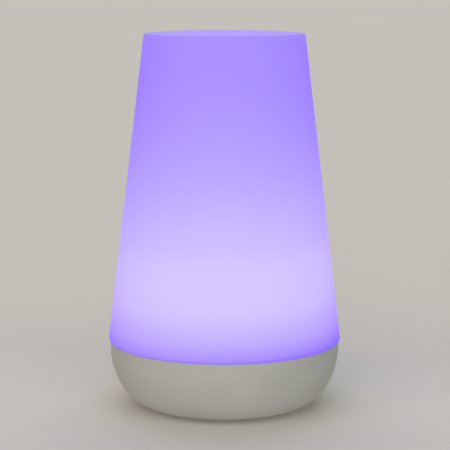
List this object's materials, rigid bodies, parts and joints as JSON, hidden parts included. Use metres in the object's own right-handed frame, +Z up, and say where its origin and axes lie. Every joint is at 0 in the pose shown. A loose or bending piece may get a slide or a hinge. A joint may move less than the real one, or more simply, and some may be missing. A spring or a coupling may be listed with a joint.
{
  "type": "smart bedside lamp",
  "caption": "Bedside lamp: closed-top opal cone shade, lit lavender, that twist-locks onto a bowl-shaped rechargeable base with a charging panel and push button at the back.",
  "frame": {"origin": "middle of the foot pad's underside, on the floor", "axes": "+Z up along the lamp's axis; +Y toward the charging panel at the back; the picture looks along +Y at the front"},
  "size_m": [0.104, 0.104, 0.1664],
  "materials": {
    "shade_opal": "satin opal plastic, lit lavender from inside",
    "bowl_grey": "fine spark-eroded matte",
    "pad_silicone": "matte silicone",
    "white_plastic": "matte white moulding",
    "screw_steel": "zinc plated",
    "led_board_white": "white solder mask on an aluminium core",
    "led_white": "moulded light package",
    "led_clear": "clear resin over colour chips",
    "led_yellow": "yellow phosphor resin",
    "connector_ivory": "ivory nylon",
    "wire_grey": "soft insulation, one colour per wire in the finished look",
    "board_green": "green solder mask",
    "pin_gold": "gold plated",
    "radio_dark": "dark solder mask",
    "lid_steel": "drawn tinplate",
    "chip_black": "moulded epoxy",
    "leg_tin": "tinned strip",
    "coil_grey": "ferrite",
    "can_aluminium": "bare can",
    "socket_steel": "bright nickel plated",
    "plunger_ivory": "matte",
    "pipe_clear": "clear plastic",
    "cell_metal": "plated can",
    "sleeve_blue": "shrink film",
    "tab_nickel": "nickel strip",
    "lead_red": "silicone insulation",
    "lead_black": "silicone insulation"
  },
  "bodies": {
    "base": {"base_bowl": "bowl_grey", "foot_pad": "pad_silicone", "light_deck": "white_plastic", "deck_screws": "screw_steel", "led_board": "led_board_white", "led_packages": "led_white", "led_windows": "led_clear", "led_phosphors": "led_yellow", "led_board_screws": "screw_steel", "led_header": "connector_ivory", "harness_plugs": "connector_ivory", "harness_wires": "wire_grey", "main_board": "board_green", "board_screws": "screw_steel", "board_headers": "connector_ivory", "header_pins": "pin_gold", "radio_module": "radio_dark", "radio_lid": "lid_steel", "board_chips": "chip_black", "chip_legs": "leg_tin", "power_coil": "coil_grey", "board_capacitors": "can_aluminium", "charging_socket": "socket_steel", "socket_tongue": "chip_black", "button_switch": "chip_black", "light_pipe": "pipe_clear", "indicator_light": "led_white", "battery_cell": "cell_metal", "cell_sleeve": "sleeve_blue", "cell_tabs": "tab_nickel", "battery_clamp": "white_plastic", "clamp_screws": "screw_steel", "lead_positive": "lead_red", "lead_negative": "lead_black", "battery_plug": "connector_ivory"},
    "shade": {"shade": "shade_opal"},
    "button": {"power_button": "bowl_grey", "switch_plunger": "plunger_ivory"}
  },
  "joints": [
    {"name": "shade_twist", "type": "hinge", "parent": "base", "child": "shade", "pos_m": [0, 0, 0.0298], "axis": [0, 0, 1], "range_deg": [0, 26]},
    {"name": "power_press", "type": "slide", "parent": "base", "child": "button", "axis": [0, -1, 0], "range_m": [0, 0.0003], "stiffness_N_per_m": 1000, "springref_m": -0.0015}
  ]
}
